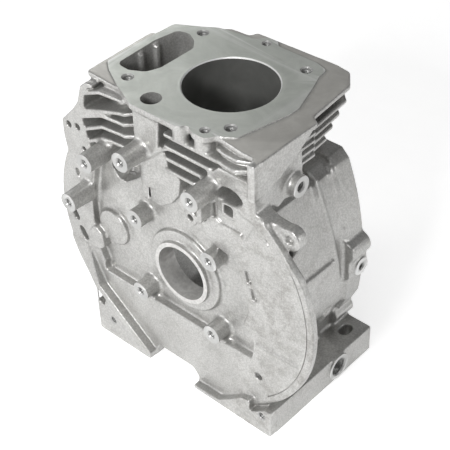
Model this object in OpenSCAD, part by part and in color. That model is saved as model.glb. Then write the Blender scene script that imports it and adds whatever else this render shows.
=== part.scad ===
// Crankcase of an air-cooled single-cylinder engine: one aluminium casting with the
// finned upright cylinder, and the iron liner that is cast into its bore.
// X is to the right seen from the flywheel side, Y away from that side, Z up.
// The origin is where the cylinder axis meets the plane that the feet stand on.

/* [Crankshaft] */
// Height of the crankshaft axis over the feet
crank_h = 132; // [126:1:138]
// Radius of the front main bearing bore
main_r = 28; // [22:0.5:30]
// Length of the front main bearing bore
main_len = 21; // [17:1:25]
// Width of the hub rim round the main bearing bore
hub_rim = 4.5; // [3:0.5:7]
// Radius of the raised ring behind the hub
ring_r = 43; // [40:1:45]
// Distance from the crankshaft axis to the camshaft axis
cam_distance = 93; // [88:1:95]
// Radius of the camshaft bearing
cam_bearing_r = 11; // [8:0.5:13]
// Radius of the two tappet bores
tappet_r = 5; // [4:0.25:6]
// Distance between the two tappet bores
tappet_d = 27; // [24:0.5:30]

/* [Cylinder] */
// Radius of the finished cylinder bore
bore_r = 43; // [40:0.5:44]
// Wall of the iron liner
liner_wall = 4; // [3:0.5:4.5]
// Height of the machined deck over the feet
deck_z = 300; // [296:1:306]
// Length of the iron liner
liner_len = 112; // [104:1:116]
// Outer radius of the cast barrel
barrel_r = 54; // [52:0.5:56]
// Chamfer at the top of the bore
bore_chamfer = 1.2; // [0.5:0.1:1.6]

/* [Deck] */
// Thickness of the deck plate
deck_t = 6; // [5:0.5:8]
// Drop of the broad fin below the deck surface
plate_drop = 1.2; // [0.8:0.1:2]
// Radius of the head bolt holes
head_bolt_r = 4.6; // [4:0.1:5]
// Depth of the head bolt holes
head_bolt_depth = 38; // [25:1:42]
// Radius of the two small deck holes
deck_screw_r = 3.4; // [2.5:0.1:4]
// Depth of the two small deck holes
deck_screw_depth = 14; // [10:1:18]
// Radius of the plain round passage
passage_r = 9.6; // [7:0.2:10]
// Wall of the column round the passage
passage_wall = 4.5; // [3.5:0.5:6]

/* [Fins] */
// Spacing of the fins at the front and the left
front_pitch = 12.2; // [11.5:0.1:12.8]
// Spacing of the fins at the right and the rear
side_pitch = 7.4; // [7:0.1:7.8]
// Thickness of a fin
fin_t = 3.8; // [3:0.2:4.6]
// Thickness of the broad fin under the deck
plate_fin_t = 5.2; // [4.6:0.2:5.6]

/* [Front faces] */
// Distance of the front machined faces ahead of the cylinder axis
face_y = 83; // [81:0.5:85]
// Distance of the flange plate front ahead of the cylinder axis
plate_y = 74; // [73:0.5:75.5]
// Depth of the bearing panel behind the flange plate
panel_d = 8.5; // [7:0.5:9.5]
// Thickness of the flange plate
plate_t = 6.5; // [5:0.5:8]
// Height of the rims and ridges on the flange plate
rim_h = 1.4; // [0.8:0.1:2]
// Distance of the fan housing bosses ahead of the cylinder axis
fan_y = 101; // [97:1:104]
// Radius of the front bosses
boss_r = 9.5; // [8.5:0.5:10]
// Radius of the tapped holes in the front bosses
boss_hole_r = 3.3; // [2.5:0.1:3.6]
// Depth of the tapped holes in the front bosses
boss_hole_depth = 14; // [10:1:15]
// Half the width between the four coil bosses
coil_half_w = 45.5; // [44:0.5:48]
// Half the height between the four coil bosses
coil_half_h = 44; // [42:0.5:46]

/* [Body] */
// Wall thickness of the crank chamber
wall = 7; // [6:0.5:8.5]
// Distance of the rear gasket face behind the cylinder axis
rear_y = 70; // [68:1:73]
// Height of the ribs on the side walls
rib_h = 3.5; // [2:0.5:5]
// Radius of the tapped holes in the rear gasket face
cover_hole_r = 3.4; // [2.5:0.1:4]
// Depth of the tapped holes in the rear gasket face
cover_hole_depth = 20; // [12:1:22]
// Height of the sump underside over the feet
sump_z = 15; // [12:1:18]

/* [Feet] */
// Width over both feet
foot_w = 229; // [226:1:234]
// Thickness of the feet
foot_t = 30; // [28:1:32]
// Width between the mounting slots
slot_w = 195.5; // [192:0.5:198]
// Distance between the front and rear mounting slots
slot_d = 95; // [92:1:98]
// Distance of the rear slots behind the cylinder axis
slot_rear_y = 51; // [49:1:53]
// Radius of the mounting slots
slot_r = 5.5; // [4.5:0.25:6.5]
// Length of the mounting slots between their end centres
slot_len = 5; // [3:0.5:7]
// Radius of the drain boss
drain_r = 14; // [12.5:0.5:14.5]
// Radius of the drain hole
drain_hole_r = 9; // [7:0.5:10]
// Radius of the tapped holes in the front of the feet
foot_hole_r = 3.4; // [2.5:0.1:4]

/* [Hidden] */
$fn = 72;
cast = [0.70, 0.69, 0.68];
iron = [0.24, 0.24, 0.25];
eps = 0.02;

liner_r = bore_r + liner_wall;
liner_bottom = deck_z - liner_len;
panel_y = plate_y - panel_d;
hub_back = main_len - plate_y;
chamber_front = hub_back - 3.5;
chamber_roof = liner_bottom + 6;
tunnel_floor = chamber_roof + 12;
guide_h = 2.5;
foot_half = foot_w / 2;
cam_x = -cam_distance;
cam_z = crank_h + 2;
drain_y = 17;
drain_z = foot_t / 2 + 1.5;
deck_under = deck_z - deck_t;
plate_top = deck_z - plate_drop;
shoulder_z = deck_z - 76;
front_fin_z = deck_z - 21.2;
side_fin_z = deck_z - 9.6;

// Head bolts: back left, front left, back right, front right
head_bolts = [[-77, 48], [-76.5, -49.5], [36, 58.5], [44, -50]];
deck_screws = [[-20, 71], [30, -66]];
passage = [-37, -60.5];
coil_bosses = [for (sx = [-1, 1], sz = [-1, 1]) [sx * coil_half_w - 2, crank_h + sz * coil_half_h]];
// Fan housing bosses: place in X and Z, and where along Y the root of each one is
fan_bosses = [[[-39, deck_z - 46], -59], [[-87, crank_h + 98], -53], [[-117, crank_h + 39], -plate_y],
    [[42, deck_z - 48], -57]];
// Bosses of the rear cover: place in X and Z, and how much deeper than the usual the hole of each one is
cover_bosses = [[97, crank_h + 2, 1], [83, 45, 2], [69, deck_z - 87, -1], [-20, deck_z - 84, 0],
    [-98, deck_z - 90, -2], [-118, crank_h + 6, 1.5], [-95, 50, 0.5], [0, 24, -1.5]];

// Turns a flat shape drawn in X and Z into a solid between two places along Y
module along_y(y0, y1) {
    translate([0, y1, 0]) rotate([90, 0, 0]) linear_extrude(y1 - y0) children();
}

// Turns a flat shape drawn in Y and Z into a solid between two places along X
module along_x(x0, x1) {
    translate([x0, 0, 0]) rotate([90, 0, 90]) linear_extrude(x1 - x0) children();
}

// Rounds the outer corners of a flat shape by r1 and its inner corners by r2
module rounded(r1, r2 = 0) {
    offset(-r2) offset(r1 + r2) offset(-r1) children();
}

// Flat bar with round ends from p to q
module bar(p, q, r) {
    offset(r, $fn = 32) polygon([p, q, q + [0, eps], p + [0, eps]]);
}

// Flat strip of half width r along a line of points
module strip(points, r) {
    for (i = [1:len(points) - 1]) bar(points[i - 1], points[i], r);
}

// Flat slot along Y with true round ends, centred
module slot(r, len) {
    translate([-r, -len / 2]) square([2 * r, len]);
    for (s = [-1, 1]) translate([0, s * len / 2]) circle(r);
}

// Round boss that faces the front: its axis place, its face and its root along Y
module front_boss(place, face, root, r, flare = 0) {
    translate([place[0], face, place[1]]) rotate([-90, 0, 0]) cylinder(r1 = r, r2 = r + flare, h = root - face);
}

// Hole bored from the front
module front_hole(place, face, depth, r) {
    translate([place[0], face - 1, place[1]]) rotate([-90, 0, 0]) cylinder(r = r, h = depth + 1);
}

module deck_outline() {
    rounded(4, 3, $fn = 24) polygon([
        [-109, 43], [-90, 53], [-72, 64], [-45, 68], [-31, 70], [-26, 79], [-14, 79], [-9, 73.5],
        [36, 73], [49, 69], [51, 56], [57, 41], [68, 8], [68, -4], [60, -42], [57, -57], [43, -66.5],
        [37, -75.5], [23, -75.5], [18, -71], [13, -71], [9, -77.5], [-46, -78], [-70, -66.5], [-98, -51],
        [-109, -42], [-110, 0]]);
}

module top_plate_outline() {
    rounded(4, 3, $fn = 24) polygon([
        [-114, -64], [-117, 21], [-110, 22], [-109, 43], [-82, 58], [-63, 72.5], [-43, 74], [-40, 82], [50, 84.5],
        [66, 82], [79, 65], [84.5, 8], [92, 4], [94, -77], [86, -77], [86, -69], [72, -69], [49, -66],
        [20, -66], [-10, -70], [-45, -70], [-78, -66]]);
}

// Flat shape of the block that joins the barrel, the pushrod tunnel and the bolt columns
module block_outline() {
    circle(barrel_r);
    polygon([[-108, -40], [-98, -46], [-60, -50], [-30, -44], [-20, 0], [-30, 44], [-72, 60],
        [-92, 52], [-104, 40], [-109, 10]]);
    for (b = head_bolts) translate(b) circle(11);
    polygon([[20, -45], [36, -58], [54, -45], [45, -25]]);
    polygon([[10, 48], [28, 67], [46, 55], [45, 25]]);
}

// Outer shape of the crank chamber, seen along the crankshaft
module body_outline(inset = 0) {
    intersection() {
        translate([-186, crank_h - 22]) circle(282 - inset, $fn = 144);
        translate([88, crank_h + 16]) circle(212 - inset, $fn = 144);
        polygon([[-200, sump_z + max(inset, 0)], [82 - inset, sump_z + max(inset, 0)], [82 - inset, 46], [94 - inset, 72],
            [200, 150], [74 - inset, shoulder_z - 8 - inset],
            [66 - inset, shoulder_z - inset], [-100 + inset, shoulder_z - inset], [-200, 190]]);
    }
}

// Outer shape of the flange that carries the fan housing
module flange_outline() {
    intersection() {
        union() {
            translate([-14, crank_h + 8.5]) circle(143.7, $fn = 144);
            translate([16, crank_h + 6.5]) circle(138.3, $fn = 144);
        }
        polygon([[-170, 52], [-113, 52], [-41, 2], [-38, sump_z], [8, sump_z], [15, sump_z - 8], [16, 0], [60, 0],
            [74, 20], [170, 20], [170, 170], [99, 244], [92, 239], [80, 214], [30, 212], [21, 207],
            [-44, 212], [-60, 205], [-75, 195], [-83, 195], [-94, 206], [-104, 220], [-170, 220]]);
    }
}

// The recessed panel round the main bearing
module panel_outline() {
    rounded(5, 2, $fn = 24) polygon([
        [-116, 152], [-116.5, 131], [-105, 121], [-103.5, 107], [-112, 101], [-106, 87], [-109, 76], [84, 76], [87, 100], [74, 113], [81, 134],
        [76, 156], [69, 178], [62, 190], [40, 197], [21, 206], [21, 230], [-100, 230]]);
}

module deck() {
    translate([0, 0, deck_under]) linear_extrude(deck_t) deck_outline();
}

// The broad fin under the deck, with the guard at its front right corner
module top_plate() {
    translate([0, 0, plate_top - plate_fin_t]) linear_extrude(plate_fin_t) top_plate_outline();
    along_x(87, 93) polygon([[-77, plate_top - 1], [-78, deck_z - 37], [-73, deck_z - 38], [-46, deck_z - 32],
        [-23, deck_z - 20], [-8, deck_z - 10], [3, plate_top - 1]]);
    translate([85, -78, deck_z - 38]) cube([8, 9, 36]);
}

// Fins at the right and the rear, each a little shorter than the one above it
module side_fins() {
    for (k = [1:4]) translate([0, 0, side_fin_z - k * side_pitch]) linear_extrude(fin_t)
        intersection() {
            top_plate_outline();
            polygon([[-102, 100], [-102, 20], [-30, 0], [30, -60], [89, -60], [89, 30], [79 + k / 2, 70 - 10 * k],
                [74 - 2 * k, 76 - 9 * k], [58 - 5 * k, 86 - 3 * k], [30, 88 - 3 * k], [-44, 84 - 3 * k]]);
        }
}

// Fins at the front. The left ones curve down to the ear of the flange, and all of their ends are rounded
// where they stop short of the passage column. Two shorter ones stand in the niche beside the guard.
module front_fins() {
    for (k = [0:3]) translate([0, 0, front_fin_z - k * front_pitch]) linear_extrude(fin_t)
        rounded(3, $fn = 24) polygon([[-13, -74], [50 - 9 * k, -74], [60 - 8 * k, -40], [0, -40], [-13, -62]]);
    intersection() {
        along_y(-plate_y - 1, -30) for (k = [-1:3]) strip([
            [-117 + 3 * abs(k), front_fin_z - k * front_pitch - (k == 0 ? 19 : 12)],
            [-90, front_fin_z - k * front_pitch - (k == 0 ? 8.5 : 1)],
            [-66, front_fin_z - k * front_pitch + (k == 0 ? -0.5 : 1.5)],
            [-46, front_fin_z - k * front_pitch + fin_t / 2]], fin_t / 2);
        linear_extrude(deck_under) rounded(7, $fn = 32)
            polygon([[-132, -plate_y], [-60, -plate_y], [-49, -64], [-49, -20], [-110, -20], [-132, -40]]);
    }
    translate([0, 0, front_fin_z + 7.4]) linear_extrude(fin_t) rounded(5, $fn = 24)
        polygon([[40, -40], [42, -68], [55, -70.5], [68, -70.5], [82, -64], [82, -40]]);
    translate([0, 0, front_fin_z]) linear_extrude(fin_t) rounded(5, $fn = 24)
        polygon([[44, -40], [48, -73], [60, -75], [70, -74.5], [80, -67], [80, -40]]);
    // Arched end of the second fin, which runs down to the boss root
    along_y(-plate_y, -45) strip([[0, front_fin_z - front_pitch + fin_t / 2], [-8, front_fin_z - front_pitch + 1],
        [-18, front_fin_z - front_pitch - 5], [-44, front_fin_z - front_pitch - 30]], fin_t / 2);
}

// Solid mass under the deck: barrel, pushrod tunnel, bolt columns and passage column
module block() {
    translate([0, 0, shoulder_z - 20]) linear_extrude(deck_under - shoulder_z + 20 + eps) block_outline();
    translate([passage[0], passage[1], shoulder_z - 10])
        cylinder(r = passage_r + passage_wall, h = deck_under - shoulder_z + 10 + eps);
    // Wall between the passage column and the front fins, and the smooth face under its arch
    along_y(-76, -38) polygon([[-46, deck_under], [-46, deck_z - 64], [-38, deck_z - 60], [-18, deck_z - 38],
        [-15, deck_under]]);
    along_y(2.5 - plate_y, -38) rounded(3, 8, $fn = 24) polygon([[-46, deck_z - 50], [-46, 196], [-24, 196], [-10, 206],
        [0, 220], [3, deck_z - 61], [-12, deck_z - 57], [-12, deck_z - 40]]);
    translate([deck_screws[1][0], deck_screws[1][1], deck_z - 17]) cylinder(r = 9.2, h = 16);
    translate([deck_screws[0][0], deck_screws[0][1], deck_z - 17]) cylinder(r = 8.5, h = 16);
    translate([6.5, -70, deck_z - 17]) cylinder(r = 7.5, h = 16);
    translate([6, -70, deck_z - 9]) cube([20, 10, 4]);
}

// Web that joins the upper right boss to the guard, with its arch, and the plate with an eye under it
module right_web() {
    along_y(-plate_y, -50) difference() {
        polygon([[36, deck_z - 40], [50, deck_z - 24], [90, deck_z - 24], [90, deck_z - 52], [36, deck_z - 88]]);
        translate([62, deck_z - 57]) circle(17);
        translate([43, deck_z - 100]) square([60, 48]);
    }
    along_y(-88, -60) polygon([[37, deck_z - 46], [42, deck_z - 46], [42, deck_z - 78], [36, deck_z - 84]]);
    along_y(1.5 - plate_y, -56) polygon([[46, 200], [46, deck_z - 56.5], [68, deck_z - 56.5], [72, deck_z - 52],
        [73, deck_z - 57], [76.5, deck_z - 61], [84, deck_z - 66], [92, deck_z - 68], [92, 200]]);
    // Raised block under that plate
    along_y(-plate_y - 1.5, -56) rounded(2, 3, $fn = 24) polygon([[30, deck_z - 92], [46, deck_z - 77],
        [52, deck_z - 81], [76, deck_z - 81], [76, deck_z - 99], [70, deck_z - 108], [58, deck_z - 112],
        [36, deck_z - 106]]);
    front_boss([15, crank_h + 73], -plate_y, -60, 8);
    // Rim of the eye
    along_y(-plate_y - 0.5, -60) translate([60.5, deck_z - 64]) rounded(3) square(15, center = true);
}

module body() {
    along_y(-panel_y, rear_y) body_outline();
    along_y(-plate_y, plate_t - plate_y) difference() {
        flange_outline();
        panel_outline();
    }
    // Front wall behind the flange
    along_y(-plate_y, -panel_y + 8) difference() {
        intersection() {
            flange_outline();
            union() {
                body_outline();
                polygon([[21, 190], [21, 230], [46, 222], [80, 214], [90, 240], [70, 180]]);
            }
        }
        panel_outline();
    }
}

// Upper left corner of the flange: ear with two holes, and the curved wall that guides the air
module air_guide() {
    along_y(-plate_y, plate_t - plate_y) difference() {
        polygon([[-142, 205], [-145, 223], [-145, 239], [-141, 243], [-128, 257], [-120, 268], [-114, 287],
            [-106, 294], [-98, 295], [-98, 291], [-104, 289], [-109, 283], [-113, 262], [-116, 250], [-106, 214],
            [-100, 210]]);
        for (p = [[-136, 237], [-124, 239]]) translate(p) circle(cover_hole_r);
    }
    along_y(plate_t - plate_y - eps, -42) polygon([[-122, 252], [-117, 270], [-114, 287], [-106, 294], [-98, 295],
        [-98, 291], [-104, 289], [-109, 283], [-113, 262], [-116, 250], [-106, 214], [-112, 212]]);
}

// Rim, ridges and recesses of the flange face
module flange_relief() {
    along_y(-plate_y - rim_h, -plate_y + eps) {
        difference() {
            intersection() {
                translate([16, crank_h + 6.5]) circle(138.3, $fn = 144);
                polygon([[60, 20], [170, 20], [170, 170], [99, 244], [89, 239]]);
            }
            translate([16, crank_h + 6.5]) circle(132.5, $fn = 144);
        }
        // Broad band of the lower left edge, which runs on into the bead
        intersection() {
            difference() {
                translate([-14, crank_h + 8.5]) circle(143.7, $fn = 144);
                translate([-14, crank_h + 8.5]) circle(124, $fn = 144);
            }
            rounded(2, $fn = 24) polygon([[-170, 99], [-122, 99], [-96, 66], [-107, 54], [-170, 54]]);
        }
        bar([90, 100], [136, 103], 1.2);
        translate([79, 25]) circle(6);
    }
    // Pad beside the camshaft boss
    along_y(-plate_y - 2.6, -panel_y + 1) rounded(3, $fn = 24) polygon([[-124, 107], [-121, 121], [-113, 130],
        [-104, 124], [-102.5, 108], [-109, 102], [-118, 100]]);
}

// Bands and ribs on the side walls. Each is drawn from the side and stands rib_h proud of the wall.
module side_ribs() {
    difference() {
        union() {
            intersection() {
                along_y(10, 45) body_outline(-rib_h);
                along_x(40, 130) strip([[20, 232], [23.5, 221], [23, 203], [24.5, 185], [27.5, 160], [31.5, 132],
                    [34.5, 108], [33.5, 86], [27, 75], [23.5, 66], [23, 34]], 2.4);
            }
            along_y(rear_y - 21, rear_y) body_outline(-rib_h);
            intersection() {
                along_y(-panel_y, 34) body_outline(-rib_h);
                along_x(40, 130) polygon([[-70, 80], [25, 80], [33, 88], [34, 108], [30, 134], [-70, 136]]);
            }
            for (y = [-20, 20]) along_y(y, y + 6) intersection() {
                body_outline(-rib_h);
                translate([-160, 30]) square([120, shoulder_z - 34]);
            }
        }
        along_y(-panel_y + 4, rear_y) body_outline(2);
    }
}

// Bosses and lugs on the right side
module right_side() {
    // Pivot boss with its arm under the guard
    translate([70, -24, deck_z - 49.5]) rotate([0, 90, 0]) cylinder(r1 = 12, r2 = 10, h = 28);
    along_x(70, 90) polygon([[-76, deck_z - 37], [-67, deck_z - 44], [-43, deck_z - 64], [-36, deck_z - 60],
        [-24, deck_z - 61], [-12, deck_z - 50], [-14, deck_z - 19], [-46, deck_z - 33]]);
    // Bar with an eye beside the flange, and the thin web that holds it
    along_y(-68, -56) difference() {
        union() {
            strip([[72, deck_z - 62], [121, deck_z - 65]], 6.5);
            translate([121, deck_z - 67.5]) circle(10.5);
        }
        translate([121, deck_z - 67.5]) circle(4);
    }
    along_y(-plate_y, -56) strip([[78, deck_z - 56], [97, deck_z - 61]], 6);
    along_y(-62, -56) polygon([[121, deck_z - 76], [76, deck_z - 60], [66, 185], [100, 185], [112, 194], [122, 212],
        [129, 226]]);
    // Boss that faces right, and the lobes of the rear edge
    translate([80, 60, crank_h - 21]) rotate([0, 90, 0]) cylinder(r = 9, h = 26);
    along_y(rear_y - 26, rear_y) {
        translate([97, crank_h + 1]) circle(11);
        translate([95, crank_h - 24]) circle(9.5);
        polygon([[90, crank_h - 56], [84, crank_h + 50], [90, crank_h + 25], [104, crank_h], [103, crank_h - 25]]);
    }
    // Two humps that lead up to the lobes
    for (z = [crank_h + 18, crank_h + 5]) translate([84, rear_y - 21, z]) rotate([-28, 0, 0])
        translate([0, 0, -16]) cylinder(r = 11, h = 22);
}

module feet() {
    along_y(-plate_y, rear_y) translate([-foot_half, 0]) square([foot_half - 42, foot_t]);
    along_y(-plate_y, rear_y) translate([16, 0]) square([foot_half - 16, foot_t]);
    // Front pads: the left one ends at the bead, the right one keeps clear of the round flange
    along_y(-face_y, -plate_y + eps) difference() {
        polygon([[-foot_half, 0], [-foot_half, 56], [-111, 57], [-43, 5], [-42, 0]]);
        polygon([[2 - foot_half, 36], [-105, 34], [-102, 46], [-110, 53], [2 - foot_half, 53]]);
    }
    along_y(-face_y, -plate_y + eps) difference() {
        rounded(1.5, 6, $fn = 24) polygon([
            [16, 0], [16, 3], [48, 4], [64, 16], [78, 28], [88, foot_t], [foot_half, foot_t], [foot_half, 0]]);
        intersection() {
            translate([16, crank_h + 6.5]) circle(141.3, $fn = 144);
            translate([88, 0]) square(60);
        }
    }
    // Web from the left foot to the flange, with its recess
    along_y(-plate_y, -48) polygon([[-foot_half, foot_t - 4], [-foot_half, 53], [-108, 58], [-97, 52],
        [-97, foot_t - 4]]);
    translate([foot_half - 1, drain_y, drain_z]) rotate([0, 90, 0]) cylinder(r = drain_r, h = 3.2);
}

// Raised rim that slopes up from the lower left edge of the flange and runs down to the foot
module bead() {
    along_y(-face_y - 1, -plate_y + eps) bar([-110, 58], [-44.5, 6.5], 3.6);
    hull() {
        along_y(-face_y - 1, -plate_y + eps) translate([-110, 58]) circle(3.6, $fn = 32);
        along_y(-plate_y - rim_h, -plate_y + eps) polygon([[-147, 95], [-127, 98], [-119, 84], [-138, 72]]);
    }
}

module front_bosses() {
    for (b = coil_bosses) front_boss(b, -face_y, -panel_y + 2, boss_r);
    for (b = fan_bosses) front_boss(b[0], -fan_y, b[1], boss_r, 1);
    // Closed end of the camshaft bearing
    front_boss([cam_x, cam_z], -panel_y - 5, -panel_y + 2, 19);
}

module rear_bosses() {
    for (b = cover_bosses) translate([b[0], rear_y - 26, b[1]]) rotate([-90, 0, 0]) cylinder(r = 9, h = 26);
}

module main_hub() {
    front_boss([0, crank_h], -plate_y - 0.4, hub_back, main_r + hub_rim);
    front_boss([0, crank_h], -panel_y - 4.5, chamber_front - 2, ring_r);
    // Guides of the tappets, a little proud of the chamber roof
    for (sy = [-1, 1]) translate([cam_x + 4, sy * tappet_d / 2, chamber_roof - guide_h])
        cylinder(r = tappet_r + 3.5, h = guide_h + eps);
    // Camshaft bearing inside the front wall
    front_boss([cam_x, cam_z], -panel_y + 1, chamber_front + 6, cam_bearing_r + 6);
}

module cavities() {
    // Crank chamber, open at the rear
    along_y(chamber_front, rear_y + 1) difference() {
        body_outline(wall);
        // Roof under the cylinder and the pushrod tunnel
        translate([-140, chamber_roof]) square([202, 60]);
    }
    // Bore of the casting for the liner
    translate([0, 0, chamber_roof - 10]) cylinder(r = liner_r, h = deck_z);
    // Pushrod tunnel
    translate([0, 0, tunnel_floor]) linear_extrude(deck_z) rounded(7, $fn = 24)
        polygon([[-100, -40], [-84, -41], [-70, -33], [-65, -20], [-65, 22], [-74, 33], [-86, 39], [-98, 36],
            [-102, 10]]);
}

module tunnel_ribs() {
    for (y = [-10, 10]) translate([-104, y - 2.5, tunnel_floor - 2]) cube([6, 5, deck_z - tunnel_floor - 2]);
}

module holes() {
    front_hole([0, crank_h], -plate_y, main_len + 10, main_r);
    for (b = coil_bosses) front_hole(b, -face_y, boss_hole_depth, boss_hole_r);
    for (b = fan_bosses) front_hole(b[0], -fan_y, boss_hole_depth, boss_hole_r);
    front_hole([15, crank_h + 73], -plate_y, 10, boss_hole_r);
    along_y(-plate_y - 2, -plate_y + 12) translate([60.5, deck_z - 64]) rounded(1.5, $fn = 24) square(10, center = true);
    // Gap between the bar's root and the plate with the eye, which runs out along the rim
    along_y(-plate_y - 3, -62) strip([[71.5, deck_z - 49], [72, deck_z - 55], [76, deck_z - 60], [84, deck_z - 64.5],
        [92, deck_z - 66.5], [98.5, deck_z - 71.5], [105, deck_z - 79]], 1.2);
    // Deep recess under the upper left bosses
    along_y(-plate_y - 2, -46) rounded(4, $fn = 24) polygon([[-90, 224], [-91, 206], [-83, 196], [-74, 196],
        [-60, 206], [-48, 217], [-48, 238], [-76, 238]]);
    for (x = [-93, 103.5]) front_hole([x, 21], -face_y, boss_hole_depth, foot_hole_r);
    // Slots and holes of the flange
    along_y(-plate_y - 2, plate_t - plate_y + 1) {
        bar([-145.5, 133], [-141.5, 125], 3.8);
        bar([-136, 112], [-131.5, 105], 3.8);
        translate([-118, 217]) circle(2.6);
        translate([92, 58.5]) circle(4);
    }
    along_y(-plate_y - 2, -plate_y + 4) {
        bar([80, 177], [82, 169], 2.6);
        bar([86, 160], [88, 152], 2.6);
        bar([-132, 186], [-129, 177], 2.6);
    }
    for (b = head_bolts) translate([b[0], b[1], deck_z - head_bolt_depth]) cylinder(r = head_bolt_r, h = 50);
    for (b = deck_screws) translate([b[0], b[1], deck_z - deck_screw_depth]) cylinder(r = deck_screw_r, h = 20);
    translate([passage[0], passage[1], chamber_roof]) cylinder(r = passage_r, h = deck_z);
    // Mounting slots
    for (sx = [-1, 1], y = [slot_rear_y, slot_rear_y - slot_d]) translate([sx * slot_w / 2, y, -1])
        linear_extrude(foot_t + 2) slot(slot_r, slot_len);
    translate([62, drain_y, drain_z]) rotate([0, 90, 0]) cylinder(r = drain_hole_r, h = foot_half - 50);
    // Side bosses
    translate([80, -24, deck_z - 49.5]) rotate([0, 90, 0]) cylinder(r = 4, h = 30);
    translate([92, 60, crank_h - 21]) rotate([0, 90, 0]) cylinder(r = 3, h = 20);
    for (b = cover_bosses) translate([b[0], rear_y - cover_hole_depth - b[2], b[1]]) rotate([-90, 0, 0])
        cylinder(r = cover_hole_r, h = cover_hole_depth + b[2] + 1);
    translate([cam_x, -panel_y + 2, cam_z]) rotate([-90, 0, 0]) cylinder(r = cam_bearing_r, h = 30);
    for (sy = [-1, 1]) translate([cam_x + 4, sy * tappet_d / 2, chamber_roof - guide_h - 1])
        cylinder(r = tappet_r, h = tunnel_floor - chamber_roof + guide_h + 2);
}

module crankcase() {
    color(cast) difference() {
        union() {
            difference() {
                union() {
                    deck();
                    top_plate();
                    side_fins();
                    front_fins();
                    block();
                    body();
                    side_ribs();
                    right_side();
                    right_web();
                    air_guide();
                    feet();
                    bead();
                    front_bosses();
                    flange_relief();
                }
                cavities();
            }
            main_hub();
            rear_bosses();
            tunnel_ribs();
        }
        holes();
    }
}

module cylinder_liner() {
    color(iron) translate([0, 0, liner_bottom]) difference() {
        cylinder(r = liner_r, h = liner_len);
        translate([0, 0, -1]) cylinder(r = bore_r, h = liner_len + 2);
        translate([0, 0, liner_len - bore_chamfer]) cylinder(r1 = bore_r, r2 = bore_r + bore_chamfer + eps,
            h = bore_chamfer + eps);
    }
}

crankcase();
cylinder_liner();
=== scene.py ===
# Crankcase: the looks of the raw aluminium casting and its iron liner.
import math

import bmesh
import bpy
import numpy as np
import openvdb
from mathutils import Matrix, Vector


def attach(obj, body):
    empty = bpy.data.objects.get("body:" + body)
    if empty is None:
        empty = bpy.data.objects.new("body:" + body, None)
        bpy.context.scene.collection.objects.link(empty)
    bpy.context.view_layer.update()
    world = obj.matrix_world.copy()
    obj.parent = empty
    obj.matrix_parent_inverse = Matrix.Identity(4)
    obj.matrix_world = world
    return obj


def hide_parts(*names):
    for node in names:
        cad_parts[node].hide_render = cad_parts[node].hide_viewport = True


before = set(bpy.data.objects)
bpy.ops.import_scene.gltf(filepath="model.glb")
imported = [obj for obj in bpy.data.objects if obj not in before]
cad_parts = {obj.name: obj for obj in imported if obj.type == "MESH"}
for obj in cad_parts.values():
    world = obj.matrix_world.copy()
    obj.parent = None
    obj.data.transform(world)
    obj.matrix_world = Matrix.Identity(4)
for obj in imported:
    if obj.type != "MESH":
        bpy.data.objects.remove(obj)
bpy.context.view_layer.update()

# Planes and radii of the crankcase in mm, in the part's frame
MM = 0.001
DECK_Z = 300.0
PLATE_Z = 298.8
FACE_Y = -83.0
FAN_Y = -101.0
FLANGE_Y = -74.0
HUB_Y = FLANGE_Y - 0.4
REAR_Y = 70.0
CRANK_Z = 132.0
BORE_R = 43.0
LINER_R = 47.0
LINER_LOW_Z = 189
BEARING_R = 28.15
BEARING_FRONT_Y, BEARING_BACK_Y = -80, -53

# Middles of the bosses and holes, as the two coordinates across their axis
HEAD_BOLTS = [(-77, 48), (-76.5, -49.5), (36, 58.5), (44, -50)]
DECK_SCREWS = [(-20, 71), (30, -66)]
COIL_BOSSES = [(-47.5, 88), (43.5, 88), (-47.5, 176), (43.5, 176)]
FAN_BOSSES = [(-39, 254), (-87, 230), (-117, 171), (42, 252)]
FOOT_HOLES = [(-93, 21), (103.5, 21)]
HUB = (0, CRANK_Z)

# Bosses that face right: the height of their face and their middle
DRAIN_X, DRAIN_BOSS = 116.7, (17, 16.5)
GUARD_X, GUARD_BOSS = 98, (-24, 250.5)
REAR_BAND_X, REAR_BAND_BOSS = 106, (60, 111)

# Cover bosses: middle, and depth of the hole
COVER_BOSSES = [(97, 134, 21), (83, 45, 22), (69, 213, 19), (-20, 216, 20), (-98, 210, 18),
                (-118, 138, 21.5), (-95, 50, 20.5), (0, 24, 18.5)]

# Fine grid in which the casting is rounded: spacing, corners and how far from the surface it reaches
VOXEL = 0.85
GRID_LOW = (-165, -112, -10)
GRID_HIGH = (155, 86, 316)
REACH = 5.0

# Radii of the casting's inner corners and outer edges, where it is crisp and where it is soft
CRISP = (1.0, 0.6)
SOFT = (3.0, 1.0)

# Stretches over which the soft walls, the arm, the feet and the roots of the bosses begin or end
WALLS_TOP_Z, WALLS_FRONT_Y = (214, 224), (-62, -54)
ARM_LEFT_X, ARM_LOW_Z, ARM_TOP_Z, ARM_REAR_Y = (66, 72), (226, 232), (256, 262), (10, 20)
FEET_TOP_Z, FEET_INNER_X = (30, 36), (96, 104)
ROOTS_R, ROOTS_BACK_Y = (14, 18), (-48, -40)

# Triangles that the rounded casting keeps before it is machined
CASTING_TRIANGLES = 148000

# Coarse grid that tells how closed in a place is
RECESS_VOXEL = 2.0
RECESS_REACHES = (5.0, 14.0)
RECESS_MARGIN = 12

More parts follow.
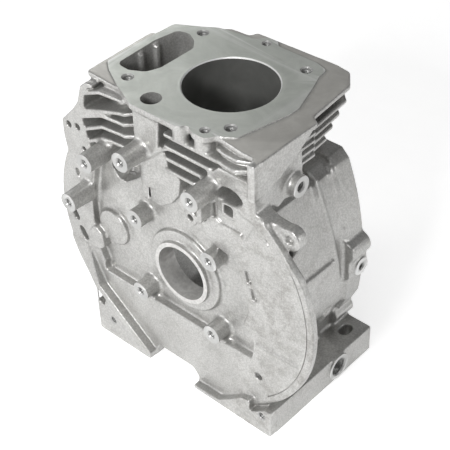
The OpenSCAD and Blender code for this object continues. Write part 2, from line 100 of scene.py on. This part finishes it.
# Milled faces: axis, which way they face, plane, middle and radius, or None for a whole plane
STOCK = 3.0
MILLED_FACES = [
    ("z", 1, DECK_Z, None, 0), ("z", -1, 0, None, 0), ("y", 1, REAR_Y, None, 0),
    *[("y", -1, FACE_Y, place, 11) for place in COIL_BOSSES],
    *[("y", -1, FAN_Y, place, 11) for place in FAN_BOSSES],
    ("y", -1, HUB_Y, HUB, 34),
    ("x", 1, DRAIN_X, DRAIN_BOSS, 15), ("x", 1, GUARD_X, GUARD_BOSS, 11),
    ("x", 1, REAR_BAND_X, REAR_BAND_BOSS, 10)]

# Blocks that mill the deck, the sole and the rear face: centre and size
MILLING_BLOCKS = [((0, 0, DECK_Z + 10), (600, 600, 20)), ((0, 0, -10), (600, 600, 20)),
                  ((0, REAR_Y + 10, 110), (600, 20, 240))]
DISC_MARGIN = 2.5
DISC_T = 5

# Threaded holes: axis, place, height of the mouth, which way the hole goes, radius, depth and pitch
THREADS = [
    *[("z", p, DECK_Z, -1, 4.55, 38, 1.5) for p in HEAD_BOLTS],
    *[("z", p, DECK_Z, -1, 3.45, 14, 1.25) for p in DECK_SCREWS],
    *[("y", p, FACE_Y, 1, 3.3, 14, 1.25) for p in COIL_BOSSES],
    *[("y", p, FAN_Y, 1, 3.3, 14, 1.25) for p in FAN_BOSSES],
    *[("y", p[:2], REAR_Y, -1, 3.4, p[2], 1.25) for p in COVER_BOSSES],
    *[("y", p, FACE_Y, 1, 3.4, 14, 1.25) for p in FOOT_HOLES],
    ("x", DRAIN_BOSS, DRAIN_X, -1, 9.0, 54, 1.5), ("x", GUARD_BOSS, GUARD_X, -1, 4.0, 18, 1.5),
    ("x", REAR_BAND_BOSS, REAR_BAND_X, -1, 3.0, 14, 1.25)]
DRILL_ALLOWANCE = 0.15
CHAMFER = 1.3
CHAMFER_DEPTH = 1.2
ABOVE_MOUTH = 1.5

# Groove along the bead of the flange's right rim: centre, radius and the angles between which it runs
RIM_CENTRE = (16.0, 138.5)
RIM_R = 131.0
RIM_START, RIM_END = math.radians(30), math.radians(-48)

# Camera: focal length and photo in pixels, sensor in mm, place in metres, and its azimuth,
# elevation and roll in degrees
FOCAL_PX = 1182.398
PHOTO_PX = 450
SENSOR = 36
CAMERA_PLACE = (0.58149, -0.637719, 0.849914)
CAMERA_ANGLES = (42.958, 39.314, -1.762)

# Colours of the metals, in linear light
# Near white laid on convex edges: burnished wear on the cast skin, a painted highlight on the milled faces
BURNISH_AND_EDGE_HIGHLIGHT = (0.86, 0.86, 0.85)
SKIN_DARK, SKIN_LIGHT, SKIN_STAIN = (0.46, 0.456, 0.442), (0.56, 0.556, 0.54), (0.3, 0.288, 0.27)
# Painted shade: darker colours laid into the casting's inner corners and recesses
CORNER_PAINTED_SHADE, RECESS_PAINTED_SHADE = (0.2, 0.195, 0.185), (0.17, 0.165, 0.155)
DECK_DARK, DECK_LIGHT = (0.5, 0.525, 0.485), (0.62, 0.645, 0.6)
PLATE_DARK, PLATE_LIGHT = (0.5, 0.49, 0.46), (0.63, 0.62, 0.585)
BOSS_DARK, BOSS_LIGHT = (0.44, 0.44, 0.43), (0.56, 0.56, 0.55)
THREAD_METAL, BEARING_METAL = (0.5, 0.5, 0.49), (0.72, 0.71, 0.69)
# The rim colour is a painted highlight, near white on the edge of the liner's bore
IRON_DARK, IRON_LIGHT, IRON_RIM_PAINTED_HIGHLIGHT = (0.14, 0.142, 0.135), (0.195, 0.197, 0.187), (0.9, 0.9, 0.89)

# Order of the casting's materials
SKIN, DECK, BOSS_FACE, THREAD, PLATE_TOP, BEARING = range(6)


# Meshes

def add_object(name, data):
    """Object of a mesh, a lamp or a camera, put into the scene."""
    obj = bpy.data.objects.new(name, data)
    bpy.context.scene.collection.objects.link(obj)
    return obj


def from_points(name, points, faces):
    """Object of points in mm and the faces between them."""
    mesh = bpy.data.meshes.new(name)
    mesh.from_pydata((points * MM).tolist(), [], faces)
    mesh.update()
    return add_object(name, mesh)


def from_bmesh(name, bm):
    mesh = bpy.data.meshes.new(name)
    bm.to_mesh(mesh)
    bm.free()
    return add_object(name, mesh)


def apply_modifiers(obj):
    bpy.context.view_layer.update()
    graph = bpy.context.evaluated_depsgraph_get()
    mesh = bpy.data.meshes.new_from_object(obj.evaluated_get(graph))
    obj.modifiers.clear()
    obj.data = mesh


def vectors(items, name):
    """Rows of three numbers that each item of a mesh has under a name."""
    values = np.empty(len(items) * 3, np.float32)
    items.foreach_get(name, values)
    return values.reshape(-1, 3)


def triangles(mesh):
    """Points in mm and triangles of a mesh."""
    mesh.calc_loop_triangles()
    tris = np.empty(len(mesh.loop_triangles) * 3, np.int32)
    mesh.loop_triangles.foreach_get("vertices", tris)
    return vectors(mesh.vertices, "co") / MM, tris.reshape(-1, 3).astype(np.uint32)


def other_two(axis):
    return {"x": (1, 2), "y": (0, 2), "z": (0, 1)}[axis]


def along(axis, place, at):
    """Matrix that lays a shape made along Z on an axis through a place, at one height along it."""
    turn = {"x": Matrix.Rotation(math.pi / 2, 4, "Y"), "y": Matrix.Rotation(-math.pi / 2, 4, "X"),
            "z": Matrix.Identity(4)}[axis]
    a, b = place
    where = {"x": (at, a, b), "y": (a, at, b), "z": (a, b, at)}[axis]
    return Matrix.Translation(Vector(where) * MM) @ turn


def cylinder(bm, radius, segments, axis, place, low, high):
    shape = bmesh.ops.create_cone(bm, cap_ends=True, segments=segments, radius1=radius * MM,
                                  radius2=radius * MM, depth=(high - low) * MM)["verts"]
    bmesh.ops.transform(bm, matrix=along(axis, place, (low + high) / 2), verts=shape)


# Rounding

def level_set(points, tris, quads):
    return openvdb.FloatGrid.createLevelSetFromPolygons(
        points.astype(np.float32), triangles=tris, quads=quads,
        transform=openvdb.createLinearTransform(voxelSize=VOXEL), halfWidth=REACH / VOXEL)


def in_voxels(corner):
    return tuple(int(round(v / VOXEL)) for v in corner)


def as_array(grid):
    low, high = in_voxels(GRID_LOW), in_voxels(GRID_HIGH)
    values = np.empty([b - a for a, b in zip(low, high)], np.float32)
    grid.copyToArray(values, ijk=low)
    return values


def as_grid(values):
    grid = openvdb.FloatGrid(REACH)
    grid.transform = openvdb.createLinearTransform(voxelSize=VOXEL)
    grid.copyFromArray(values, ijk=in_voxels(GRID_LOW))
    grid.gridClass = openvdb.GridClass.LEVEL_SET
    return grid


def rounded(grid, inner, outer):
    """Distance to the shape once its inner corners and its outer edges are rounded."""
    mesh = grid.convertToPolygons(isovalue=inner)
    grid = level_set(*mesh)
    mesh = grid.convertToPolygons(isovalue=-(inner + outer))
    return as_array(level_set(*mesh)) - outer


def step(values, start, end):
    """0 before start, 1 after end, smooth between them."""
    t = np.clip((values - start) / (end - start), 0, 1)
    return t * t * (3 - 2 * t)


def soft_share():
    """Where the casting has large radii: the walls behind the flange, the arm and the boss roots."""
    x, y, z = (np.arange(a, b) * VOXEL for a, b in zip(in_voxels(GRID_LOW), in_voxels(GRID_HIGH)))
    x, y, z = x[:, None, None], y[None, :, None], z[None, None, :]
    walls = (1 - step(z, *WALLS_TOP_Z)) * step(y, *WALLS_FRONT_Y)
    arm = step(x, *ARM_LEFT_X) * step(z, *ARM_LOW_Z) * (1 - step(z, *ARM_TOP_Z))
    arm = arm * (1 - step(y, *ARM_REAR_Y))
    feet = (1 - step(z, *FEET_TOP_Z)) * step(np.abs(x), *FEET_INNER_X)
    share = np.maximum(walls, arm) * (1 - feet)
    for a, b in COIL_BOSSES + FAN_BOSSES:
        root = 1 - step(np.hypot(x - a, z - b), *ROOTS_R)
        share = np.maximum(share, root * (1 - step(y, *ROOTS_BACK_Y)))
    return share.astype(np.float32)


# Casting

def casting_with_stock():
    """Copy of the CAD casting whose milled faces still have their stock on."""
    bm = bmesh.new()
    bm.from_mesh(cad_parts["crankcase"].data)
    bmesh.ops.remove_doubles(bm, verts=bm.verts, dist=0.000004)
    for axis, sign, plane, place, radius in MILLED_FACES:
        k = "xyz".index(axis)
        a, b = other_two(axis)
        for v in bm.verts:
            if abs(v.co[k] / MM - plane) < 0.02 and (
                    place is None or math.hypot(v.co[a] / MM - place[0], v.co[b] / MM - place[1]) < radius):
                v.co[k] += sign * STOCK * MM
    bmesh.ops.triangulate(bm, faces=bm.faces)
    obj = from_bmesh("casting_with_stock", bm)
    points, tris = triangles(obj.data)
    bpy.data.objects.remove(obj)
    return points, tris


def raw_casting():
    """The casting as it comes out of the sand, rounded all over, with the stock on."""
    points, tris = casting_with_stock()
    sharp = level_set(points, tris, np.zeros((0, 4), np.uint32))
    crisp = rounded(sharp, *CRISP)
    soft = rounded(sharp, *SOFT)
    share = soft_share()
    grid = as_grid(crisp * (1 - share) + soft * share)
    points, tris, quads = grid.convertToPolygons(isovalue=0)
    faces = [tuple(f[::-1]) for f in quads] + [tuple(f[::-1]) for f in tris]
    casting = from_points("casting", points, faces)
    thin = casting.modifiers.new("thin", "DECIMATE")
    thin.ratio = min(1.0, CASTING_TRIANGLES / (2 * len(quads) + len(tris)))
    apply_modifiers(casting)
    return casting


# Machining

def milling_block(centre, size):
    bm = bmesh.new()
    bmesh.ops.create_cube(bm, size=1)
    bmesh.ops.scale(bm, vec=Vector(size) * MM, verts=bm.verts)
    bmesh.ops.translate(bm, vec=Vector(centre) * MM, verts=bm.verts)
    return from_bmesh("milling_block", bm)


def facing_discs():
    """Discs that face the bosses and the hub."""
    bm = bmesh.new()
    for axis, sign, plane, place, radius in MILLED_FACES:
        if place is not None:
            low = plane + (sign - 1) * DISC_T / 2
            cylinder(bm, radius + DISC_MARGIN, 48, axis, place, low, low + DISC_T)
    return from_bmesh("facing_discs", bm)


def joined_to(start):
    """Every point that edges join to a point."""
    found, todo = set(), [start]
    while todo:
        v = todo.pop()
        if v not in found:
            found.add(v)
            todo += [e.other_vert(v) for e in v.link_edges]
    return list(found)


def thread_outline(radius, depth, pitch):
    """Radius and height of the drill, the thread's grooves and the chamfer, from the bottom up."""
    drill = radius + DRILL_ALLOWANCE
    outline = [(0, -depth), (drill, -depth)]
    height = -depth + 1.5 * pitch
    while height < -2 * pitch:
        outline += [(drill, height), (drill + 0.55 * pitch, height + pitch / 2)]
        height += pitch
    return outline + [(drill, height), (drill, -CHAMFER_DEPTH), (radius + CHAMFER, 0),
                      (radius + CHAMFER, ABOVE_MOUTH), (0, ABOVE_MOUTH)]


def thread_cutter(bm, axis, place, mouth, way, radius, depth, pitch):
    """Drill, chamfer and thread grooves of one hole, turned from its outline."""
    verts = [bm.verts.new((r * MM, 0, h * MM)) for r, h in thread_outline(radius, depth, pitch)]
    edges = [bm.edges.new(pair) for pair in zip(verts, verts[1:])]
    bmesh.ops.spin(bm, geom=verts + edges, cent=(0, 0, 0), axis=(0, 0, 1), steps=36,
                   angle=2 * math.pi, use_merge=True)
    parts = joined_to(verts[1])
    bmesh.ops.remove_doubles(bm, verts=parts, dist=0.00001)
    parts = [v for v in parts if v.is_valid]
    if way == 1:
        bmesh.ops.scale(bm, vec=(1, 1, -1), verts=parts)
    bmesh.ops.transform(bm, matrix=along(axis, place, mouth), verts=parts)


def boring_cutters():
    """Every threaded hole, the seat of the liner and the bore of the main bearing."""
    bm = bmesh.new()
    for hole in THREADS:
        thread_cutter(bm, *hole)
    cylinder(bm, LINER_R + 0.02, 128, "z", (0, 0), LINER_LOW_Z, DECK_Z + 20)
    cylinder(bm, BEARING_R, 128, "y", HUB, BEARING_FRONT_Y, BEARING_BACK_Y)
    bmesh.ops.recalc_face_normals(bm, faces=bm.faces)
    return from_bmesh("boring_cutters", bm)


def rim_groove():
    """Cutter of the thin groove along the bead of the flange's right rim."""
    bm = bmesh.new()
    corners = [(RIM_R - 0.6, FLANGE_Y - 4), (RIM_R + 0.6, FLANGE_Y - 4),
               (RIM_R + 0.45, FLANGE_Y + 0.8), (RIM_R - 0.45, FLANGE_Y + 0.8)]
    x, z = RIM_CENTRE
    verts = [bm.verts.new((x + r * math.cos(RIM_START), y, z + r * math.sin(RIM_START)))
             for r, y in corners]
    face = bm.faces.new(verts)
    bmesh.ops.spin(bm, geom=[face, *face.edges, *verts], cent=(x, 0, z), axis=(0, 1, 0), steps=72,
                   angle=RIM_START - RIM_END)
    bmesh.ops.scale(bm, vec=(MM, MM, MM), verts=bm.verts)
    bmesh.ops.recalc_face_normals(bm, faces=bm.faces)
    return from_bmesh("rim_groove", bm)


def machine(casting, cutters):
    cut = casting.modifiers.new("cut", "BOOLEAN")
    cut.operation = "DIFFERENCE"
    cut.solver = "MANIFOLD"
    cut.object = cutters
    apply_modifiers(casting)
    bpy.data.objects.remove(cutters)


def machined_casting():
    casting = raw_casting()
    for centre, size in MILLING_BLOCKS:
        machine(casting, milling_block(centre, size))
    for cutters in (facing_discs, boring_cutters, rim_groove):
        machine(casting, cutters())
    return casting


# Finish by face

def cut_faces(casting):
    """Gives each milled or bored face, and the top of the broad fin, the material of its finish."""
    mesh = casting.data
    centre, normal = vectors(mesh.polygons, "center") / MM, vectors(mesh.polygons, "normal")
    finish = np.full(len(centre), SKIN, np.int32)

    def off_axis(axis, place):
        a, b = other_two(axis)
        return np.hypot(centre[:, a] - place[0], centre[:, b] - place[1])

    finish[(abs(centre[:, 2] - PLATE_Z) < 0.35) & (normal[:, 2] > 0.95)] = PLATE_TOP
    for axis, sign, plane, place, radius in MILLED_FACES:
        k = "xyz".index(axis)
        flat = (abs(centre[:, k] - plane) < 0.01) & (sign * normal[:, k] > 0.99)
        if place is not None:
            flat &= off_axis(axis, place) < radius + DISC_MARGIN
        finish[flat] = DECK if plane == DECK_Z else BOSS_FACE
    for axis, place, mouth, way, radius, depth, pitch in THREADS:
        down = (centre[:, "xyz".index(axis)] - mouth) * way
        inside = off_axis(axis, place) < radius + CHAMFER + DRILL_ALLOWANCE
        finish[inside & (down > 0.003) & (down < depth + 0.5)] = THREAD
    finish[(off_axis("y", HUB) < BEARING_R + 0.25) & (centre[:, 1] < BEARING_BACK_Y + 0.5)] = BEARING
    mesh.polygons.foreach_set("material_index", finish)


def add_mark(mesh, name, values):
    layer = mesh.attributes.new(name, "FLOAT", "POINT")
    layer.data.foreach_set("value", values.astype(np.float32))


def mark_edges(mesh):
    """Writes how sharply the surface turns at each point: above 0 on edges, below 0 in corners."""
    place, normal = vectors(mesh.vertices, "co") / MM, vectors(mesh.vertices, "normal")
    n, ends = len(place), np.empty(len(mesh.edges) * 2, np.int32)
    mesh.edges.foreach_get("vertices", ends)
    a, b = ends.reshape(-1, 2).T
    way = place[b] - place[a]
    length = np.maximum((way ** 2).sum(1), 0.04)
    count = np.bincount(a, minlength=n) + np.bincount(b, minlength=n)
    lean_a = np.bincount(a, (way * normal[a]).sum(1) / length, n)
    lean_b = np.bincount(b, (way * normal[b]).sum(1) / length, n)
    turn = -(lean_a - lean_b) / count
    for _ in range(3):
        turn = 0.4 * turn + 0.6 * (np.bincount(a, turn[b], n) + np.bincount(b, turn[a], n)) / count
    add_mark(mesh, "edge_turn", np.clip(turn, -1, 1))


def mark_recesses(mesh):
    """Writes how closed in each point is: 0 in the open, near 1 between the fins and inside."""
    points, tris = triangles(mesh)
    grid = openvdb.FloatGrid.createLevelSetFromPolygons(
        points, triangles=tris, transform=openvdb.createLinearTransform(voxelSize=RECESS_VOXEL),
        halfWidth=max(RECESS_REACHES) / RECESS_VOXEL + 2)
    low = [int(v / RECESS_VOXEL) - RECESS_MARGIN for v in GRID_LOW]
    high = [int(v / RECESS_VOXEL) + RECESS_MARGIN for v in GRID_HIGH]
    field = np.empty([b - a for a, b in zip(low, high)], np.float32)
    grid.copyToArray(field, ijk=tuple(low))
    place, normal = vectors(mesh.vertices, "co") / MM, vectors(mesh.vertices, "normal")
    closed = np.zeros(len(place), np.float32)
    for reach in RECESS_REACHES:
        cell = ((place + normal * reach) / RECESS_VOXEL - low).round().astype(int)
        cell = np.clip(cell, 0, np.array(field.shape) - 1)
        closed += 0.5 * np.clip(1 - field[tuple(cell.T)] / reach, 0, 1)
    add_mark(mesh, "recess", closed)


# Nodes of a material

def material(name, metallic, specular=0.5):
    mat = bpy.data.materials.new(name)
    mat.use_nodes = True
    tree = mat.node_tree
    shader = tree.nodes["Principled BSDF"]
    shader.inputs["Metallic"].default_value = metallic
    shader.inputs["Specular IOR Level"].default_value = specular
    place = tree.nodes.new("ShaderNodeTexCoord").outputs["Object"]
    return mat, tree, shader, place


def noise(tree, place, scale, detail=4.0, rough=0.6, distortion=0.0):
    node = tree.nodes.new("ShaderNodeTexNoise")
    node.inputs["Scale"].default_value = scale
    node.inputs["Detail"].default_value = detail
    node.inputs["Roughness"].default_value = rough
    node.inputs["Distortion"].default_value = distortion
    tree.links.new(place, node.inputs["Vector"])
    return node.outputs["Fac"]


def ramp(tree, value, stops):
    node = tree.nodes.new("ShaderNodeValToRGB")
    while len(node.color_ramp.elements) < len(stops):
        node.color_ramp.elements.new(0.5)
    for element, (at, colour) in zip(node.color_ramp.elements, stops):
        element.position = at
        element.color = (*colour, 1)
    tree.links.new(value, node.inputs["Fac"])
    return node.outputs["Color"]


def grey(value):
    return (value, value, value)


def blend(tree, share, under, over, mode="MIX"):
    """Lays one colour over another by a share, which is a socket or a number."""
    node = tree.nodes.new("ShaderNodeMix")
    node.data_type = "RGBA"
    node.blend_type = mode
    if isinstance(share, float):
        node.inputs[0].default_value = share
    else:
        tree.links.new(share, node.inputs[0])
    tree.links.new(under, node.inputs[6])
    if isinstance(over, tuple):
        node.inputs[7].default_value = (*over, 1)
    else:
        tree.links.new(over, node.inputs[7])
    return node.outputs[2]


def fit(tree, value, low, high, to_low, to_high):
    """Stretches a value from one range to another and keeps it there."""
    node = tree.nodes.new("ShaderNodeMapRange")
    node.inputs["From Min"].default_value = low
    node.inputs["From Max"].default_value = high
    node.inputs["To Min"].default_value = to_low
    node.inputs["To Max"].default_value = to_high
    tree.links.new(value, node.inputs["Value"])
    return node.outputs["Result"]


def calculate(tree, operation, first, second):
    """Math node on a socket and on a second socket or a number."""
    node = tree.nodes.new("ShaderNodeMath")
    node.operation = operation
    tree.links.new(first, node.inputs[0])
    if isinstance(second, float):
        node.inputs[1].default_value = second
    else:
        tree.links.new(second, node.inputs[1])
    return node.outputs[0]


def bump(tree, height, strength, distance, under=None):
    node = tree.nodes.new("ShaderNodeBump")
    node.inputs["Strength"].default_value = strength
    node.inputs["Distance"].default_value = distance
    tree.links.new(height, node.inputs["Height"])
    if under is not None:
        tree.links.new(under, node.inputs["Normal"])
    return node.outputs["Normal"]


def marked(tree, name):
    node = tree.nodes.new("ShaderNodeAttribute")
    node.attribute_name = name
    return node.outputs["Fac"]


def split(tree, place):
    node = tree.nodes.new("ShaderNodeSeparateXYZ")
    tree.links.new(place, node.inputs["Vector"])
    return node.outputs


def mapped(tree, place, socket, value):
    node = tree.nodes.new("ShaderNodeMapping")
    node.inputs[socket].default_value = value
    tree.links.new(place, node.inputs["Vector"])
    return node.outputs["Vector"]


def waves(tree, place, scale, distortion):
    node = tree.nodes.new("ShaderNodeTexWave")
    node.bands_direction = "Z"
    node.rings_direction = "Z"
    node.inputs["Scale"].default_value = scale
    node.inputs["Distortion"].default_value = distortion
    tree.links.new(place, node.inputs["Vector"])
    return node


# Materials

def flange_stains(tree, place):
    """Share of the mottled stains that the front of the flange has at its right."""
    across = split(tree, place)
    front = fit(tree, across["Y"], (FLANGE_Y + 0.8) * MM, (FLANGE_Y + 0.3) * MM, 0, 1)
    right = fit(tree, across["X"], 55 * MM, 75 * MM, 0, 1)
    spots = ramp(tree, noise(tree, place, 70, 6, 0.72, 0.3), [(0.47, grey(0)), (0.62, grey(0.6))])
    return calculate(tree, "MULTIPLY", calculate(tree, "MULTIPLY", front, right), spots)


def cast_skin(name, dark, light, stain, roughness):
    """Skin of the casting: fine sandy grain over slow stains and burnished edges, with painted shade
    darkening its inner corners and recesses.
    """
    mat, tree, shader, place = material(name, 0.62, 0.6)
    colour = ramp(tree, noise(tree, place, 22, 5, 0.6, 0.4), [(0.32, dark), (0.68, light)])
    stains = ramp(tree, noise(tree, place, 60, 4, 0.7, 0.8), [(0.52, grey(0)), (0.66, grey(1))])
    colour = blend(tree, fit(tree, stains, 0, 1, 0, 0.3), colour, stain)
    colour = blend(tree, flange_stains(tree, place), colour, stain)
    specks = ramp(tree, noise(tree, place, 620, 2, 0.5), [(0.4, grey(0.85)), (0.62, grey(1.08))])
    colour = blend(tree, 1.0, colour, specks, "MULTIPLY")
    turn = marked(tree, "edge_turn")
    # Painted shade: inner corners darkened in the colour
    colour = blend(tree, fit(tree, turn, -0.06, -0.3, 0, 0.45), colour, CORNER_PAINTED_SHADE)
    # Painted shade: recesses darkened in the colour, by how closed in they are
    colour = blend(tree, fit(tree, marked(tree, "recess"), 0.2, 0.9, 0, 0.35), colour, RECESS_PAINTED_SHADE)
    colour = blend(tree, fit(tree, turn, 0.08, 0.4, 0, 0.8), colour, BURNISH_AND_EDGE_HIGHLIGHT)
    tree.links.new(colour, shader.inputs["Base Color"])
    rough = fit(tree, noise(tree, place, 90, 4, 0.6), 0.3, 0.7, roughness - 0.07, roughness + 0.08)
    worn = calculate(tree, "SUBTRACT", rough, fit(tree, turn, 0.08, 0.4, 0, 0.16))
    tree.links.new(worn, shader.inputs["Roughness"])
    uneven = bump(tree, noise(tree, place, 80, 3, 0.5), 0.3, 0.0008)
    lumps = bump(tree, noise(tree, place, 330, 2, 0.5), 0.2, 0.0003, uneven)
    grain = bump(tree, noise(tree, place, 1100, 2, 0.6), 0.25, 0.00016, lumps)
    tree.links.new(grain, shader.inputs["Normal"])
    return mat


def milled(name, dark, light, roughness, cutter_arc=0.09, stain=0.35):
    """Milled face: arcs of the cutter, a faint mottle, fine scratches and a painted highlight on its edges.
    """
    mat, tree, shader, place = material(name, 0.6)
    mottle = ramp(tree, noise(tree, place, 26, 6, 0.62, 1.1), [(0.34, dark), (0.66, light)])
    arcs = waves(tree, mapped(tree, place, "Location", (0.31, cutter_arc, 0)), 260, 1.5)
    arcs.wave_type = "RINGS"
    colour = blend(tree, fit(tree, arcs.outputs["Fac"], 0, 1, 0, 0.22), mottle, light)
    stains = ramp(tree, noise(tree, place, 75, 3, 0.75, 1.2), [(0.56, grey(0)), (0.7, grey(1))])
    colour = blend(tree, fit(tree, stains, 0, 1, 0, stain), colour, dark)
    # Painted highlight: convex edges of the milled face painted near white
    colour = blend(tree, fit(tree, marked(tree, "edge_turn"), 0.05, 0.2, 0, 0.8), colour, BURNISH_AND_EDGE_HIGHLIGHT)
    tree.links.new(colour, shader.inputs["Base Color"])
    patches = noise(tree, place, 130, 4, 0.7, 0.5)
    rough = fit(tree, patches, 0.3, 0.7, roughness - 0.06, roughness + 0.1)
    tree.links.new(rough, shader.inputs["Roughness"])
    marks = bump(tree, arcs.outputs["Fac"], 0.12, 0.00012)
    scratches = bump(tree, noise(tree, place, 700, 3, 0.6), 0.12, 0.0001, marks)
    tree.links.new(scratches, shader.inputs["Normal"])
    return mat


def bored(name, colour, roughness):
    """Bright, slightly uneven wall of a bore or thread."""
    mat, tree, shader, place = material(name, 0.5, 0.6)
    shade = tuple(0.75 * c for c in colour)
    tone = ramp(tree, noise(tree, place, 240, 3, 0.6), [(0.3, shade), (0.7, colour)])
    tree.links.new(tone, shader.inputs["Base Color"])
    tool_marks = noise(tree, place, 1500, 2, 0.5)
    rough = fit(tree, tool_marks, 0.3, 0.7, roughness - 0.05, roughness + 0.08)
    tree.links.new(rough, shader.inputs["Roughness"])
    tree.links.new(bump(tree, noise(tree, place, 800, 2, 0.5), 0.1, 0.0001), shader.inputs["Normal"])
    return mat


def distance_from_bore_axis(tree, place):
    flat = tree.nodes.new("ShaderNodeVectorMath")
    flat.operation = "MULTIPLY"
    flat.inputs[1].default_value = (1, 1, 0)
    tree.links.new(place, flat.inputs[0])
    span = tree.nodes.new("ShaderNodeVectorMath")
    span.operation = "LENGTH"
    tree.links.new(flat.outputs["Vector"], span.inputs[0])
    return span.outputs["Value"]


def honed_iron():
    """Dark honed wall of the liner with its cross-hatch, its milled top and a painted highlight on its rim.
    """
    mat, tree, shader, place = material("honed_liner_iron", 0.45, 0.6)
    tone = ramp(tree, noise(tree, place, 35, 4, 0.6, 0.5), [(0.3, IRON_DARK), (0.7, IRON_LIGHT)])
    top = ramp(tree, noise(tree, place, 26, 6, 0.62, 1.1), [(0.34, DECK_DARK), (0.66, DECK_LIGHT)])
    high = calculate(tree, "GREATER_THAN", split(tree, place)["Z"], (DECK_Z - 1.15) * MM)
    # Painted highlight: a thin near white ring at the edge of the bore
    rim_highlight_share = fit(tree, distance_from_bore_axis(tree, place), (BORE_R + 0.9) * MM, (BORE_R + 1.2) * MM, 1, 0)
    top = blend(tree, rim_highlight_share, top, IRON_RIM_PAINTED_HIGHLIGHT)
    tree.links.new(blend(tree, high, tone, top), shader.inputs["Base Color"])
    rough = fit(tree, noise(tree, place, 60, 3, 0.6), 0.3, 0.7, 0.3, 0.4)
    tree.links.new(rough, shader.inputs["Roughness"])
    hatch = None
    for tilt in (0.5, -0.5):
        lines = waves(tree, mapped(tree, place, "Rotation", (tilt, tilt, 0)), 420, 3)
        hatch = bump(tree, lines.outputs["Fac"], 0.1, 0.00008, hatch)
    tree.links.new(hatch, shader.inputs["Normal"])
    return mat


def casting_materials():
    """One material for each finish of the casting, in the order of SKIN to BEARING."""
    return [cast_skin("cast_aluminium_skin", SKIN_DARK, SKIN_LIGHT, SKIN_STAIN, 0.38),
            milled("milled_deck", DECK_DARK, DECK_LIGHT, 0.4),
            milled("milled_boss_faces", BOSS_DARK, BOSS_LIGHT, 0.4, 0.0, 0.3),
            bored("tapped_threads", THREAD_METAL, 0.36),
            milled("fin_plate_top", PLATE_DARK, PLATE_LIGHT, 0.44, 0.05, 0.4),
            bored("bearing_bore", BEARING_METAL, 0.42)]


def dress(casting):
    casting.data.materials.clear()
    for mat in casting_materials():
        casting.data.materials.append(mat)
    cut_faces(casting)
    mark_edges(casting.data)
    mark_recesses(casting.data)
    casting.data.shade_smooth()
    casting.data.set_sharp_from_angle(angle=math.radians(42))


# Studio

def studio_camera():
    """Camera fitted to the photo."""
    camera = bpy.data.cameras.new("camera")
    camera.sensor_width = SENSOR
    camera.lens = FOCAL_PX / PHOTO_PX * SENSOR
    camera.clip_start = 0.05
    camera.clip_end = 20
    obj = add_object("camera", camera)
    azimuth, elevation, roll = (math.radians(a) for a in CAMERA_ANGLES)
    forward = Vector((-math.sin(azimuth) * math.cos(elevation), math.cos(azimuth) * math.cos(elevation),
                      -math.sin(elevation)))
    right = forward.cross(Vector((0, 0, 1))).normalized()
    up = right.cross(forward)
    across = math.cos(roll) * right + math.sin(roll) * up
    upward = -math.sin(roll) * right + math.cos(roll) * up
    turn = Matrix((across, upward, -forward)).transposed().to_4x4()
    obj.matrix_world = Matrix.Translation(CAMERA_PLACE) @ turn
    bpy.context.scene.camera = obj


def softbox(name, place, aim, size, power):
    """Rectangular lamp that points from its place at an aim."""
    lamp = bpy.data.lights.new(name, "AREA")
    lamp.shape = "RECTANGLE"
    lamp.size, lamp.size_y = size
    lamp.energy = power
    obj = add_object(name, lamp)
    obj.location = place
    obj.rotation_euler = (Vector(aim) - Vector(place)).to_track_quat("-Z", "Y").to_euler()


def studio_lamps():
    """Five softboxes, each with its place, what it points at, its size and its power."""
    softbox("key_front_right", (0.35, -1.4, 1.05), (0, 0, 0.15), (0.35, 0.35), 18)
    softbox("fill_front_left", (-1.1, -1.2, 0.7), (0, 0, 0.15), (0.6, 0.6), 7)
    softbox("overhead", (0.2, -0.4, 1.75), (0, 0, 0.2), (0.5, 0.5), 5)
    softbox("sheen_back_left", (-1.3, 0.9, 0.9), (0, 0, 0.25), (0.5, 0.5), 3)
    softbox("side_right", (1.6, 0.5, 0.6), (0, 0, 0.15), (0.5, 0.8), 5)


def seen_by(tree, *rays):
    """1 for the two kinds of ray that are named, 0 for the others."""
    light_path = tree.nodes.new("ShaderNodeLightPath")
    return calculate(tree, "MAXIMUM", *(light_path.outputs[ray] for ray in rays))


def floor_paper():
    """Pale paper that keeps its shadow and is seen as nearly white."""
    mat, tree, shader, place = material("floor_paper", 0.0)
    tone = ramp(tree, noise(tree, place, 40, 3, 0.5), [(0.3, grey(0.8)), (0.7, grey(0.83))])
    tree.links.new(tone, shader.inputs["Base Color"])
    shader.inputs["Roughness"].default_value = 0.9
    glow = tree.nodes.new("ShaderNodeEmission")
    glow.inputs["Color"].default_value = (*grey(0.62), 1)
    tree.links.new(seen_by(tree, "Is Camera Ray", "Is Glossy Ray"), glow.inputs["Strength"])
    both = tree.nodes.new("ShaderNodeAddShader")
    tree.links.new(shader.outputs[0], both.inputs[0])
    tree.links.new(glow.outputs[0], both.inputs[1])
    tree.links.new(both.outputs[0], tree.nodes["Material Output"].inputs["Surface"])
    return mat


def studio_floor():
    bm = bmesh.new()
    bmesh.ops.create_grid(bm, x_segments=1, y_segments=1, size=6)
    floor = from_bmesh("floor", bm)
    floor.data.materials.append(floor_paper())
    return floor


def studio_world():
    """White behind the object, and a weak even light from all sides."""
    world = bpy.data.worlds.new("studio")
    bpy.context.scene.world = world
    world.use_nodes = True
    tree = world.node_tree
    sky = tree.nodes["Background"]
    sky.inputs["Color"].default_value = (1, 1, 1, 1)
    seen = seen_by(tree, "Is Camera Ray", "Is Transmission Ray")
    tree.links.new(fit(tree, seen, 0, 1, 0.13, 1), sky.inputs["Strength"])


# Scene

studio_camera()
studio_world()
studio_floor()
studio_lamps()

casting = machined_casting()
dress(casting)
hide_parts("crankcase")
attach(casting, "root")

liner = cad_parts["cylinder_liner"]
liner.data.materials.clear()
liner.data.materials.append(honed_iron())

bpy.context.scene.view_settings.view_transform = "Standard"
